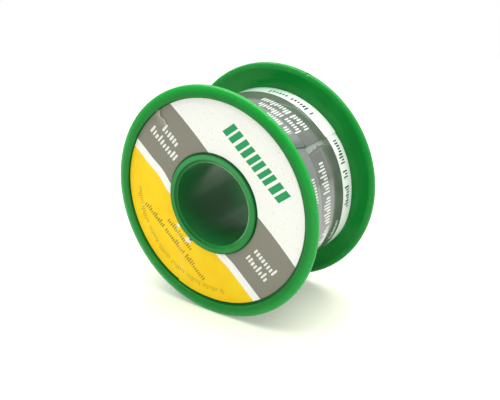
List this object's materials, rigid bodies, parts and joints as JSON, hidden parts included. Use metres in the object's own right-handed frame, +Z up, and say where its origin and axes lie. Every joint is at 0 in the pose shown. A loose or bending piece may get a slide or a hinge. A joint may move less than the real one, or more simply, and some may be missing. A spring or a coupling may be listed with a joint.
{
  "type": "solder wire spool",
  "caption": "Small flanged reel of fine solder wire standing on its flange edges, with a plain through bore, a printed film round the winding and a paper ring on the front flange.",
  "frame": {"origin": "middle of the bounding box's bottom face, on the floor midway between the two flanges' lines of contact", "axes": "+Z up, the reel's axis parallel to Y, the labelled front face towards -Y, +X to the right seen from the front"},
  "size_m": [0.05, 0.0254, 0.05],
  "materials": {
    "green_moulding": "glossy injection-moulded green plastic",
    "solder_wire": "bright drawn tin-lead wire",
    "label_paper": "matt printed paper",
    "wrap_film": "glossy printed film"
  },
  "bodies": {
    "root": {"front_reel_half": "green_moulding", "rear_reel_half": "green_moulding", "wire_inner_layers": "solder_wire", "wire_outer_layer": "solder_wire", "front_label": "label_paper", "wrap_label": "wrap_film"}
  },
  "joints": []
}
